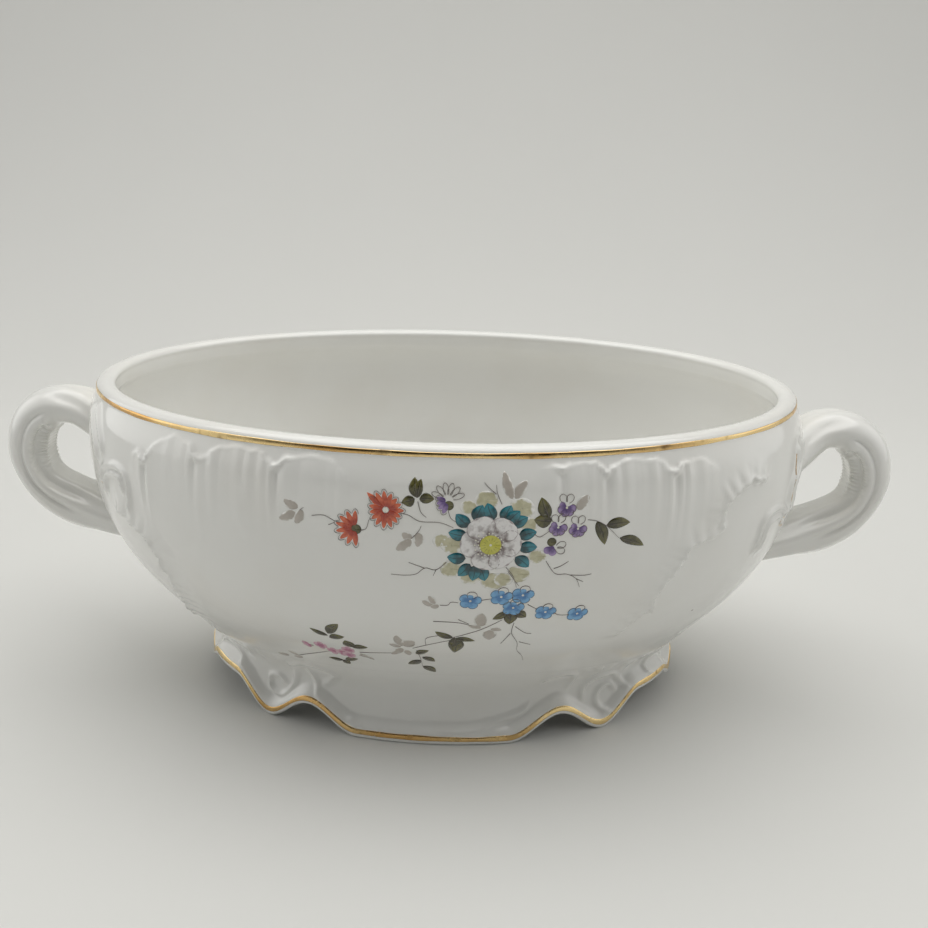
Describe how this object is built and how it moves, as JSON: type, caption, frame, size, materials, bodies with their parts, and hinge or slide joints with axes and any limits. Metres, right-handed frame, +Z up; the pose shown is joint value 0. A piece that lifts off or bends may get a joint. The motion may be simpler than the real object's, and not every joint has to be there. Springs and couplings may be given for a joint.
{
  "type": "serving bowl",
  "caption": "Oval footed porcelain serving bowl with two loop handles, a rolled gilded lip, a lid seat and a scalloped gilded foot.",
  "frame": {"origin": "middle of the foot's footprint, on the surface that the bowl stands on", "axes": "+X along the oval towards the right handle, +Y across the oval away from the painted front, +Z up"},
  "size_m": [0.3594, 0.1908, 0.1304],
  "materials": {
    "porcelain": "high gloss clear glaze over white porcelain, with painted enamel flowers",
    "gilding": "burnished gold line, worn in places",
    "enamel": "glossy painted overglaze enamel in many colours"
  },
  "bodies": {
    "root": {"bowl_body": "porcelain", "foot_skirt": "porcelain", "left_handle": "porcelain", "right_handle": "porcelain", "rim_gilding": "gilding", "foot_gilding": "gilding"}
  },
  "joints": []
}
